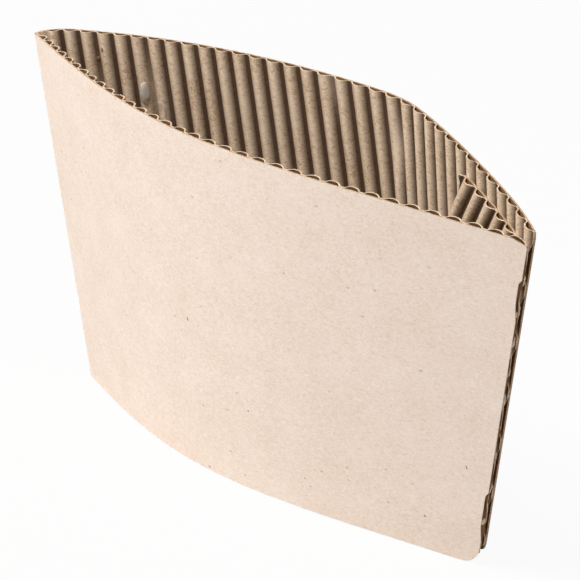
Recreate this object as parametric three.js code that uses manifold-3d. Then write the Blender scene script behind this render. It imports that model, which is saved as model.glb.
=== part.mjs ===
// Corrugated cup sleeve: one blank of single-face board (a smooth liner outside, flutes inside),
// folded at two edges and glued into a tapered band, standing half open with its wide rim up.
// Millimetres, +Z up, +X from the plain fold to the glued edge, origin under the middle of the box.
//
// The flat blank is a sector of a ring. A point of it is (x, y) from the sector's centre, x across the
// flutes and y along them, and t is the depth into the board from the liner's outer face.
// Folding turns every ray of the sector into a ray of a cone with an open, lens-shaped section.
import * as THREE from "three";
import { mergeVertices } from "three/addons/utils/BufferGeometryUtils.js";
import Module from "manifold-3d";

const wasm = await Module();
wasm.setup();

// Board
const LINER_THICKNESS = 0.3;
const MEDIUM_THICKNESS = 0.25;
const FLUTE_RISE = 1.05; // from the liner's inner face to the underside of a crest
const FLUTE_PITCH = 3.5;

// Folded flat, one panel measures
const TOP_WIDTH = 123.5;
const BOTTOM_WIDTH = 100.7;
const SLANT_HEIGHT = 66.4;
const CORNER_RADIUS = 5; // lower corners beside the glued edge

// Folds and bends of the half-open sleeve; lengths are along the top rim
const FOLD_RADIUS = 1.2;
const FRONT_BEND = 45; // degrees that the front panel turns in all
const FRONT_BEND_PEAK = 53.3; // where it turns most, from the plain fold
const BACK_BOW = 13.7; // degrees, spread over the whole back panel
const BACK_ROOT_BEND = 57.5; // degrees, next to the plain fold
const BACK_ROOT_LENGTH = 8.9;
const CREASE_BEND = 24.6; // degrees, the soft crease across the back panel
const CREASE_PLACE = 76.8; // from the plain fold
const CREASE_LENGTH = 4.8;
const BACK_END_LENGTH = 17.2; // the last stretch before the glued edge, which closes the lens

// Glue flap: the front panel's end, folded inwards along a perforated line and glued to the back panel
const FLAP_WIDTH = 25;
const FLAP_TOP_DROP = 4.5;
const FLAP_BOTTOM_RISE = 4.5;
const GLUE_GAP = 0.1;
const GLUE_BEADS = 3;
const GLUE_BEAD_WIDTH = 1.6;
const GLUE_BITE = 0.2; // how deep the glue reaches into what it joins
const EDGE_STACK = 3.6; // from the front liner to the back liner at the top of the glued edge
const EDGE_THICKNESS = 0.4; // the crushed board of the perforated fold
const EDGE_MARGIN = 1.2; // the flutes stop this far from the fold line
const EDGE_OVERLAP = 0.6;
const SLIT_COUNT = 10;
const SLIT_BRIDGE = 1.1;
const SLIT_WIDTH = 1.3;

const LEANS_ON = 1; // standing, it leans on the front panel's lower rim with 1, the back panel's with -1

// Fineness
const ROWS = 3; // stretches along a flute
const EDGE_ROWS = 14;
const SHORTEST_FLUTE = 0.4;
const RAY_SAMPLES = 1600;
const RIM_SAMPLES = 60;
const JOIN_TOLERANCE = 0.005; // slivers thinner than this are closed up where the pieces join

const VALLEY = LINER_THICKNESS + MEDIUM_THICKNESS;
const BOARD = VALLEY + FLUTE_RISE;
const TOP_RADIUS = (TOP_WIDTH * SLANT_HEIGHT) / (TOP_WIDTH - BOTTOM_WIDTH);
const BOTTOM_RADIUS = TOP_RADIUS - SLANT_HEIGHT;
const PANEL_ANGLE = TOP_WIDTH / TOP_RADIUS;
const { sin, cos, hypot, min, max, PI } = Math;
const radians = THREE.MathUtils.degToRad;

// Share of a bend made per radian of the sector, for a bend spread in a triangle from a to peak to b.
function triangular(angle, a, peak, b) {
  if (angle <= a || angle >= b) return 0;
  const height = 2 / (b - a);
  return angle < peak ? (height * (angle - a)) / (peak - a) : (height * (b - angle)) / (b - peak);
}

// How sharply the board turns inwards round a ray, over a step of the sector.
// The front panel has positive angles, the back panel negative.
function bending(angle, step, foldTurn, endTurn) {
  const along = (length) => length / TOP_RADIUS;
  const foldLeft = (foldTurn * FOLD_RADIUS) / (2 * TOP_RADIUS) - Math.abs(angle) + step / 2;
  const fold = (THREE.MathUtils.clamp(foldLeft / step, 0, 1) * TOP_RADIUS) / FOLD_RADIUS;
  if (angle > 0)
    return fold + radians(FRONT_BEND) * triangular(angle, 0, along(FRONT_BEND_PEAK), PANEL_ANGLE);
  const back = -angle;
  const root = along(BACK_ROOT_LENGTH);
  const crease = (back - along(CREASE_PLACE)) / along(CREASE_LENGTH);
  return (
    fold +
    radians(BACK_BOW) / PANEL_ANGLE +
    radians(BACK_ROOT_BEND) * triangular(back, -1e-9, 0, root) +
    (radians(CREASE_BEND) * Math.exp(-crease * crease)) / (along(CREASE_LENGTH) * Math.sqrt(PI)) +
    endTurn * triangular(back, PANEL_ANGLE - along(BACK_END_LENGTH), PANEL_ANGLE, PANEL_ANGLE + 1e-9)
  );
}

// Rays from the plain fold to one edge: each has its direction and the inward normal of the board there.
function unrollRays(edgeAngle, foldTurn, endTurn) {
  const step = edgeAngle / RAY_SAMPLES;
  const ray = new THREE.Vector3(0, 0, 1);
  const along = new THREE.Vector3(1, 0, 0);
  const rays = [];
  for (let i = 0; i <= RAY_SAMPLES; i++) {
    const inward = ray.clone().cross(along);
    rays.push({ ray: ray.clone(), along: along.clone(), inward });
    const turn = bending((i + 0.5) * step, Math.abs(step), foldTurn, endTurn);
    const axis = inward.clone().addScaledVector(ray, turn);
    const rate = axis.length();
    const rotation = new THREE.Quaternion().setFromAxisAngle(axis.divideScalar(rate), rate * step);
    ray.applyQuaternion(rotation).normalize();
    along.applyQuaternion(rotation).normalize();
  }
  return rays;
}

// What is missing at the glued edge for the two panels to lie EDGE_STACK apart there.
function edgeMismatch(foldTurn, endTurn) {
  const front = unrollRays(PANEL_ANGLE, foldTurn, endTurn)[RAY_SAMPLES];
  const back = unrollRays(-PANEL_ANGLE, foldTurn, endTurn)[RAY_SAMPLES];
  const miss = back.ray.clone().sub(front.ray).addScaledVector(front.inward, -EDGE_STACK / TOP_RADIUS);
  return [miss.dot(front.along), miss.dot(front.inward)];
}

// The plain fold's turn and the back panel's last bend that close the lens, by Newton's method.
function closeLens() {
  let fold = radians(82);
  let end = radians(6);
  const nudge = 1e-4;
  for (let i = 0; i < 30; i++) {
    const [a, b] = edgeMismatch(fold, end);
    const [a1, b1] = edgeMismatch(fold + nudge, end).map((v, k) => (v - [a, b][k]) / nudge);
    const [a2, b2] = edgeMismatch(fold, end + nudge).map((v, k) => (v - [a, b][k]) / nudge);
    const det = a1 * b2 - a2 * b1;
    fold -= (a * b2 - b * a2) / det;
    end -= (b * a1 - a * b1) / det;
    if (hypot(a, b) < 1e-7) break;
  }
  return [fold, end];
}

const turns = closeLens();
const frontRays = unrollRays(PANEL_ANGLE, ...turns);
const backRays = unrollRays(-PANEL_ANGLE, ...turns);

// The ray at an angle of the sector, between the two nearest samples.
function rayAt(angle) {
  const rays = angle >= 0 ? frontRays : backRays;
  const place = min((Math.abs(angle) / PANEL_ANGLE) * RAY_SAMPLES, RAY_SAMPLES - 1e-6);
  const i = Math.floor(place);
  const blend = (key) => rays[i][key].clone().lerp(rays[i + 1][key], place - i).normalize();
  return { ray: blend("ray"), along: blend("along"), inward: blend("inward") };
}

function onBoard(radius, angle, depth) {
  const { ray, inward } = rayAt(angle);
  return ray.multiplyScalar(radius).addScaledVector(inward, depth);
}

const fold = (x, y, t) => onBoard(hypot(x, y), Math.atan2(x, y), t);

// The flap's liner lies on the back panel's crests, so its depth counts from there.
function foldFlap(x, y, t) {
  const beyondEdge = Math.atan2(x, y) - PANEL_ANGLE;
  return onBoard(hypot(x, y), beyondEdge - PANEL_ANGLE, BOARD + GLUE_GAP + t);
}

// Flat outline of the blank: y on an arc about the centre, and y on a line beside the glued edge.
const arcAt = (radius, x) => Math.sqrt(radius * radius - x * x);
const besideEdge = (x, distance) => (x * cos(PANEL_ANGLE) - distance) / sin(PANEL_ANGLE);

// Lower outline of a panel at x, with the corner at the glued edge rounded.
function lowerEdge(x, margin) {
  const side = CORNER_RADIUS + margin;
  const reach = BOTTOM_RADIUS + CORNER_RADIUS;
  const turn = PANEL_ANGLE - Math.asin(side / reach);
  const centre = { x: reach * sin(turn), y: reach * cos(turn) };
  const arcEnd = BOTTOM_RADIUS * sin(turn);
  const lineStart = centre.x + CORNER_RADIUS * cos(PANEL_ANGLE);
  if (x <= arcEnd) return arcAt(BOTTOM_RADIUS, x);
  if (x >= lineStart) return besideEdge(x, -margin);
  return centre.y - Math.sqrt(CORNER_RADIUS * CORNER_RADIUS - (x - centre.x) ** 2);
}

// The x at which the stretch from low to high is as short as asked, found between two limits.
function narrowsAt(low, high, from, to) {
  for (let i = 0; i < 40; i++) {
    const middle = (from + to) / 2;
    if (high(middle) - low(middle) > SHORTEST_FLUTE) from = middle;
    else to = middle;
  }
  return from;
}

// Section of one flute between x0 and x1: [share of the pitch, depth] of each point.
// The first two points are shared with the flute before, and the first two of the next close it.
function fluteSection() {
  const wave = (share) => VALLEY + (FLUTE_RISE * (1 - cos(2 * PI * share))) / 2;
  const outside = [1 / 6, 2 / 6, 3 / 6, 4 / 6, 5 / 6].map((share) => [share, wave(share)]);
  const tunnelFoot = 0.14;
  const tunnelShoulder = 0.35;
  const shoulderDepth = LINER_THICKNESS + 0.68 * FLUTE_RISE;
  const tunnel = [
    [tunnelFoot, LINER_THICKNESS],
    [tunnelShoulder, shoulderDepth],
    [0.5, LINER_THICKNESS + FLUTE_RISE],
    [1 - tunnelShoulder, shoulderDepth],
    [1 - tunnelFoot, LINER_THICKNESS],
  ];
  return [[0, 0], [0, VALLEY], ...outside, ...tunnel];
}

// Triangles of that section, anticlockwise with x to the right and depth upwards.
// 0, 1: its start; 2-6: crest outside; 7-11: tunnel; 12, 13: the start of the next flute.
const FLUTE_FACES = [
  [0, 12, 11], [0, 11, 7], [0, 7, 1], [7, 2, 1], [7, 8, 2], [8, 3, 2], [8, 9, 3], [9, 4, 3],
  [9, 10, 4], [10, 5, 4], [10, 11, 5], [11, 6, 5], [11, 13, 6], [11, 12, 13],
]; // prettier-ignore
const FLAT_FACES = [
  [0, 2, 1],
  [2, 3, 1],
];

// A strip of board: its points across the flutes and the triangles of its section.
class Strip {
  constructor() {
    this.points = [];
    this.faces = [];
  }
  start(x) {
    this.points.push([x, 0], [x, VALLEY]);
  }
  // Adds one piece of board up to x, from the two points that the strip ends in now.
  addFlat(x) {
    const first = this.points.length - 2;
    this.start(x);
    for (const face of FLAT_FACES) this.faces.push(face.map((i) => first + i));
  }
  addFlute(x) {
    const first = this.points.length - 2;
    const from = this.points[first][0];
    for (const [share, depth] of fluteSection().slice(2)) this.points.push([from + share * (x - from), depth]);
    this.start(x);
    for (const face of FLUTE_FACES) this.faces.push(face.map((i) => first + i));
  }
}

// Sweeps a plane mesh of points and faces through rows of places, as a closed solid.
function sweep(pointCount, faces, rows, place) {
  const open = new Map();
  for (const face of faces)
    face.forEach((a, i) => {
      const b = face[(i + 1) % 3];
      if (!open.delete(b + "," + a)) open.set(a + "," + b, [a, b]);
    });
  const positions = [];
  for (let row = 0; row <= rows; row++)
    for (let i = 0; i < pointCount; i++) positions.push(...place(i, row / rows).toArray());
  const index = [];
  for (const [a, b, c] of faces) {
    index.push(a, c, b);
    index.push(...[a, b, c].map((i) => i + rows * pointCount));
  }
  for (let row = 0; row < rows; row++)
    for (const [a, b] of open.values()) {
      const low = row * pointCount;
      const high = low + pointCount;
      index.push(low + a, low + b, high + b, low + a, high + b, high + a);
    }
  return solid(positions, index);
}

// A manifold solid of positions and an index, turned outwards if its faces point in.
function solid(positions, index) {
  const geometry = new THREE.BufferGeometry();
  geometry.setAttribute("position", new THREE.Float32BufferAttribute(positions, 3));
  geometry.setIndex(index);
  const merged = mergeVertices(geometry, 1e-4);
  const triVerts = new Uint32Array(merged.index.array);
  const made = (verts) =>
    new wasm.Manifold(
      new wasm.Mesh({ numProp: 3, vertProperties: merged.attributes.position.array, triVerts: verts }),
    );
  const first = made(triVerts);
  if (first.volume() > 0) return first;
  for (let i = 0; i < triVerts.length; i += 3)
    [triVerts[i + 1], triVerts[i + 2]] = [triVerts[i + 2], triVerts[i + 1]];
  return made(triVerts);
}

// Both panels in one strip, from the back panel's cut end round the plain fold to the glued edge.
function panels() {
  const strip = new Strip();
  const end = (margin) => {
    const low = (x) => lowerEdge(x, margin);
    return narrowsAt(low, (x) => arcAt(TOP_RADIUS, x), BOTTOM_RADIUS * sin(PANEL_ANGLE), TOP_WIDTH);
  };
  const backEnd = end(0);
  const frontEnd = end(EDGE_MARGIN);
  const flutes = Math.round(frontEnd / FLUTE_PITCH - 0.5);
  strip.start(-backEnd);
  for (let k = flutes - 1; k >= 0; k--) strip.addFlute(-(k + 0.5) * FLUTE_PITCH);
  const foldHalf = (turns[0] * FOLD_RADIUS) / 2;
  for (const share of [-1, -0.5, 0, 0.5, 1]) strip.addFlat(share * foldHalf);
  strip.addFlat(FLUTE_PITCH / 2);
  for (let k = 1; k < flutes; k++) strip.addFlute((k + 0.5) * FLUTE_PITCH);
  strip.addFlute(frontEnd);
  return sweep(strip.points.length, strip.faces, ROWS, (i, share) => {
    const [x, t] = strip.points[i];
    const low = lowerEdge(Math.abs(x), x > 0 ? EDGE_MARGIN : 0);
    return fold(x, THREE.MathUtils.lerp(low, arcAt(TOP_RADIUS, x), share), t);
  });
}

// The flap's own strip: its flutes go on at the same pitch, cut obliquely at the fold and the free end.
function flap() {
  const topRadius = TOP_RADIUS - FLAP_TOP_DROP;
  const bottomRadius = BOTTOM_RADIUS + FLAP_BOTTOM_RISE;
  const low = (x) => max(arcAt(bottomRadius, x), besideEdge(x, FLAP_WIDTH));
  const high = (x) => min(arcAt(topRadius, x), besideEdge(x, EDGE_MARGIN));
  const middle = (topRadius + bottomRadius) * 0.5 * sin(PANEL_ANGLE + FLAP_WIDTH / (2 * topRadius));
  const from = narrowsAt(low, high, middle, bottomRadius * sin(PANEL_ANGLE));
  const to = narrowsAt(low, high, middle, topRadius * sin(PANEL_ANGLE) + FLAP_WIDTH);
  const strip = new Strip();
  const first = Math.ceil(from / FLUTE_PITCH + 0.2);
  strip.start(from);
  for (let k = first; (k + 0.5) * FLUTE_PITCH < to; k++) strip.addFlute((k + 0.5) * FLUTE_PITCH);
  strip.addFlute(to);
  return sweep(strip.points.length, strip.faces, ROWS - 1, (i, share) => {
    const [x, t] = strip.points[i];
    return foldFlap(x, THREE.MathUtils.lerp(low(x), high(x), share), t);
  });
}

// The frame of the perforated fold at a radius: its middle, the half width towards the front, and outwards.
function edgeFrame(radius) {
  const inset = (EDGE_MARGIN + EDGE_OVERLAP) / radius;
  const front = onBoard(radius, PANEL_ANGLE - inset, 0);
  const flapSide = onBoard(radius, inset - PANEL_ANGLE, BOARD + GLUE_GAP);
  const middle = front.clone().lerp(flapSide, 0.5);
  return { middle, half: front.sub(middle), outward: rayAt(PANEL_ANGLE).along, inset: inset * radius };
}

// The board that runs round the perforated fold, crushed to its liner and medium.
function perforatedFold() {
  const bulgeSteps = 8;
  const points = [];
  for (const depth of [0, EDGE_THICKNESS])
    for (let i = 0; i <= bulgeSteps; i++) points.push([(PI * i) / bulgeSteps, depth]);
  const faces = [];
  for (let i = 0; i < bulgeSteps; i++) {
    const inner = i + bulgeSteps + 1;
    faces.push([i, i + 1, inner + 1], [i, inner + 1, inner]);
  }
  const bottom = BOTTOM_RADIUS + CORNER_RADIUS;
  const body = sweep(points.length, faces, EDGE_ROWS, (i, share) => {
    const { middle, half, outward, inset } = edgeFrame(THREE.MathUtils.lerp(bottom, TOP_RADIUS - 0.02, share));
    const [angle, depth] = points[i];
    const shrunk = half.length() - depth;
    return middle
      .addScaledVector(half.normalize(), shrunk * cos(angle))
      .addScaledVector(outward, (inset - depth) * sin(angle));
  });
  const pitch = (TOP_RADIUS - bottom) / SLIT_COUNT;
  let slit = body;
  for (let k = 0; k < SLIT_COUNT; k++) slit = slit.subtract(slitCutter(bottom + (k + 0.5) * pitch, pitch));
  return slit;
}

// One slit of the perforation, as the block that is cut away.
function slitCutter(radius, pitch) {
  const { middle, half, outward, inset } = edgeFrame(radius);
  const up = rayAt(PANEL_ANGLE).ray;
  const across = half.clone().normalize();
  const block = new THREE.BoxGeometry(SLIT_WIDTH, 2 * EDGE_THICKNESS + 1, pitch - SLIT_BRIDGE);
  block.deleteAttribute("normal");
  block.deleteAttribute("uv");
  const centre = middle.addScaledVector(outward, inset).addScaledVector(across, half.length() * 0.35);
  block.applyMatrix4(new THREE.Matrix4().makeBasis(across, outward, up).setPosition(centre));
  const merged = mergeVertices(block);
  return solid(Array.from(merged.attributes.position.array), Array.from(merged.index.array));
}

// A bead of glue across the flap, which bites into the back panel's crests and the flap's liner.
function glueBead(radius) {
  const steps = 8;
  const points = [];
  for (const depth of [BOARD - GLUE_BITE, BOARD + GLUE_GAP + GLUE_BITE])
    for (let i = 0; i <= steps; i++) points.push([i / steps, depth]);
  const faces = [];
  for (let i = 0; i < steps; i++) {
    const upper = i + steps + 1;
    faces.push([i, i + 1, upper + 1], [i, upper + 1, upper]);
  }
  const sideMargin = EDGE_MARGIN + EDGE_OVERLAP + 1;
  return sweep(points.length, faces, 1, (i, share) => {
    const [across, depth] = points[i];
    const reach = THREE.MathUtils.lerp(sideMargin, FLAP_WIDTH - sideMargin, across);
    return onBoard(radius + (share - 0.5) * GLUE_BEAD_WIDTH, reach / radius - PANEL_ANGLE, depth);
  });
}

function glueBeads() {
  const top = TOP_RADIUS - FLAP_TOP_DROP;
  const bottom = BOTTOM_RADIUS + FLAP_BOTTOM_RISE;
  return Array.from({ length: GLUE_BEADS }, (_, k) =>
    glueBead(THREE.MathUtils.lerp(bottom, top, (k + 0.5) / GLUE_BEADS)),
  );
}

// The turn that stands the sleeve on a level top: on its two lower corners and one panel's lower rim.
function standingTurn() {
  const rim = (from, to) => {
    const points = [];
    for (let i = 0; i <= RIM_SAMPLES; i++) {
      const x = THREE.MathUtils.lerp(from, to, i / RIM_SAMPLES);
      const y = lowerEdge(Math.abs(x), 0);
      points.push(fold(x, y, 0), fold(x, y, BOARD));
    }
    return points;
  };
  const edge = BOTTOM_RADIUS * sin(PANEL_ANGLE);
  const cornerFrom = edge - 2 * CORNER_RADIUS;
  const foldCorner = rim(-FLUTE_PITCH / 2, FLUTE_PITCH / 2);
  const gluedCorner = [...rim(-edge, -cornerFrom), ...rim(cornerFrom, edge)];
  const leaning = rim(LEANS_ON * FLUTE_PITCH, LEANS_ON * cornerFrom);
  const up = rayAt(PANEL_ANGLE).ray.add(rayAt(0).ray).normalize();
  const across = new THREE.Vector3();
  const lowest = (points) => points.reduce((a, b) => (a.dot(up) < b.dot(up) ? a : b));
  for (let i = 0; i < 12; i++) {
    const foot = lowest(foldCorner);
    across.copy(lowest(gluedCorner)).sub(foot).normalize();
    up.addScaledVector(across, -up.dot(across)).normalize();
    const back = up.clone().cross(across);
    const leans = leaning.map((p) => {
      const from = p.clone().sub(foot);
      return Math.atan2(from.dot(up), Math.abs(from.dot(back)));
    });
    up.applyAxisAngle(across, -LEANS_ON * min(...leans));
  }
  const back = up.clone().cross(across);
  return new THREE.Matrix4().makeBasis(across, back, up).transpose();
}

// One mesh of the whole folded and glued blank, stood up and centred over the origin.
function sleeve() {
  const parts = [panels(), flap(), perforatedFold(), ...glueBeads()];
  const joined = parts.reduce((a, b) => a.add(b)).setTolerance(JOIN_TOLERANCE);
  const mesh = joined.getMesh();
  const geometry = new THREE.BufferGeometry();
  geometry.setAttribute("position", new THREE.Float32BufferAttribute(mesh.vertProperties, 3));
  geometry.setIndex(Array.from(mesh.triVerts));
  geometry.applyMatrix4(standingTurn());
  geometry.computeBoundingBox();
  const { min: low, max: high } = geometry.boundingBox;
  geometry.translate(-(low.x + high.x) / 2, -(low.y + high.y) / 2, -low.z);
  geometry.computeVertexNormals();
  const kraft = new THREE.MeshStandardMaterial({ color: 0xe6d5c6, roughness: 0.9, metalness: 0 });
  const made = new THREE.Mesh(geometry, kraft);
  made.name = "sleeve";
  return made;
}

const group = new THREE.Group();
group.add(sleeve());
export default group;
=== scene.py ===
"""Corrugated kraft cup sleeve: the fine board, its fluting, glue flap, glue and studio.

Lengths on the board are in millimetres. Places in the scene are in metres.
"""

import logging
import math
from dataclasses import dataclass, field
from enum import Enum

import bpy
import numpy as np
from bpy.types import Material, Node, NodeSocket, NodeTree, Object
from mathutils import Matrix, Vector


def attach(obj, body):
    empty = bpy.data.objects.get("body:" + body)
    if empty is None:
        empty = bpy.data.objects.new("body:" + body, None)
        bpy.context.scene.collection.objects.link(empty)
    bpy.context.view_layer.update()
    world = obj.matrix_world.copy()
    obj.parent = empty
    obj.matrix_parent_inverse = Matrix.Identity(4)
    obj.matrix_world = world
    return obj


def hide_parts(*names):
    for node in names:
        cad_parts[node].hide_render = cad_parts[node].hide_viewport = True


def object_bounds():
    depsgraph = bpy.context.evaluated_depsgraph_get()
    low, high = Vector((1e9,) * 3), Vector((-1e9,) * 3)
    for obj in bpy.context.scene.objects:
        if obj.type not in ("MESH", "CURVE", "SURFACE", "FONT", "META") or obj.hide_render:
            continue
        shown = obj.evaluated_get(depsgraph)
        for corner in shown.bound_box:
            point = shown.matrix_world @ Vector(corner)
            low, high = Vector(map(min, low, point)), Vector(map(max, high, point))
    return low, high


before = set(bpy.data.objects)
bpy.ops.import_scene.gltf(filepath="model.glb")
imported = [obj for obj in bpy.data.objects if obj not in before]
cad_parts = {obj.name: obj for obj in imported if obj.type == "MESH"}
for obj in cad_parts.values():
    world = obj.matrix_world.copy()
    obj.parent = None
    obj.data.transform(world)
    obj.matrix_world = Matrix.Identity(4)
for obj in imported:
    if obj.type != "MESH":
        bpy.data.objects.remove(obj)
CAD_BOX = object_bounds()

log = logging.getLogger("sleeve")
MM = 0.001
NODE = "sleeve"
BODY = "root"
MATH = "ShaderNodeMath"
VECTOR_MATH = "ShaderNodeVectorMath"
# Edges sharper than this, in degrees, aren't smoothed over
SHARP_EDGE = 50
# Keeps a division away from zero
TINY = 1e-9


class Layer(Enum):
    """The two webs that the board is made of."""

    LINER = "liner"
    MEDIUM = "medium"


def linear(hex_colour: str) -> tuple[float, float, float, float]:
    """Turns an sRGB hex colour into linear RGBA.

    Args:
        hex_colour: six hex digits with a leading #.

    Returns:
        The linear colour with alpha 1.
    """
    parts = [int(hex_colour[i : i + 2], 16) / 255 for i in (1, 3, 5)]
    r, g, b = (c / 12.92 if c <= 0.04045 else ((c + 0.055) / 1.055) ** 2.4 for c in parts)
    return r, g, b, 1.0


def per_metre(size: float) -> float:
    """Scale of a pattern on object coordinates, from its size in millimetres."""
    return 1 / (size * MM)


def add_node(tree: NodeTree, kind: str, inputs: tuple | dict = (), **settings: object) -> Node:
    """Adds a node with its settings and links.

    Args:
        tree: the node tree that the node goes into.
        kind: the node's type name.
        inputs: sockets to link and values to set, in the inputs' order, or by their name or place.
        settings: attributes of the node.

    Returns:
        The new node.
    """
    node = tree.nodes.new(kind)
    for name, value in settings.items():
        setattr(node, name, value)
    for place, value in inputs.items() if isinstance(inputs, dict) else enumerate(inputs):
        socket = node.inputs[place]
        if isinstance(value, NodeSocket):
            tree.links.new(value, socket)
        else:
            socket.default_value = value
    return node


def add_chain(tree: NodeTree, kind: str, known: dict[str, NodeSocket], steps: tuple) -> None:
    """Adds nodes that work on each other's results.

    Args:
        tree: the node tree that the nodes go into.
        kind: the nodes' type name.
        known: sockets by name. Each step's result joins them.
        steps: for each node a name for its result, its operation, and names of sockets or values.
    """
    for name, operation, *terms in steps:
        inputs = tuple(known.get(term, term) for term in terms)
        known[name] = add_node(tree, kind, inputs, operation=operation).outputs[0]


@dataclass(frozen=True)
class Board:
    """The single-face board, in millimetres.

    A flute's profile is (1 - reach ** flank_power) ** arch_power, with reach 0 on a crest and 1 where the
    flank meets the valley, crest_reach of a pitch away.
    """

    liner: float = 0.3
    medium: float = 0.25
    rise: float = 0.85
    pitch: float = 3.5
    crest_reach: float = 0.37
    flank_power: float = 2.4
    arch_power: float = 0.85
    # The rise varies by this much, over this length across the flutes, and more slowly along them
    unevenness: float = 0.22
    uneven_length: float = 6.25
    uneven_along: float = 0.22
    uneven_seed: float = 3.0

    @property
    def valley(self) -> float:
        """Depth of the fluting's face in a valley."""
        return self.liner + self.medium

    @property
    def thickness(self) -> float:
        """Depth of a crest."""
        return self.valley + self.rise

    def arch(self, across: np.ndarray) -> np.ndarray:
        """Share of the rise at places across the flutes: 1 on a crest, 0 in a valley."""
        reach = np.abs(across / self.pitch - np.round(across / self.pitch)) / self.crest_reach
        return np.maximum(1 - reach**self.flank_power, 0) ** self.arch_power


@dataclass(frozen=True)
class Bends:
    """How the half-open sleeve bends, in degrees and in millimetres along the top rim."""

    fold_radius: float = 1.2
    front: float = 45.0
    front_peak: float = 53.3
    back_bow: float = 13.7
    back_root: float = 57.5
    back_root_length: float = 8.9
    crease: float = 24.6
    crease_place: float = 76.8
    crease_length: float = 4.8
    back_end_length: float = 17.2
    # Where the search for the plain fold's turn and the back panel's last bend begins
    first_guess: tuple[float, float] = (82.0, 8.0)
    # In pitches: how far from the plain fold the flutes are crushed, and how far on they rise again
    crushed: float = 0.45
    recovery: float = 0.5


@dataclass(frozen=True)
class Flap:
    """The glue flap and the perforated fold, in millimetres."""

    width: float = 24.3
    top_drop: float = 2.9
    bottom_rise: float = 4.5
    glue_gap: float = 0.1
    stack: float = 3.6
    edge_thickness: float = 0.4
    cut_margin: float = 0.25
    edge_margin: float = 1.2
    edge_overlap: float = 0.6
    edge_tuck: float = 0.2
    # The flutes start with a share of their rise at the fold and have all of it this far on
    pressed_share: float = 0.2
    pressed_for: float = 7.0
    # The front's upper corner is bent down a little along the last stretch of the rim
    dog_ear: float = 2.4
    dog_ear_slope: float = 0.3
    # Stretches of the liner's edge, as distances from the sector's centre, where it is torn back
    notches: tuple[tuple[float, float], ...] = ((299.5, 307.7), (343.4, 350.6))
    notch_depth: float = 0.45
    slits: int = 10
    bridge: float = 1.1
    bridge_shift: float = 0.12


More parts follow.
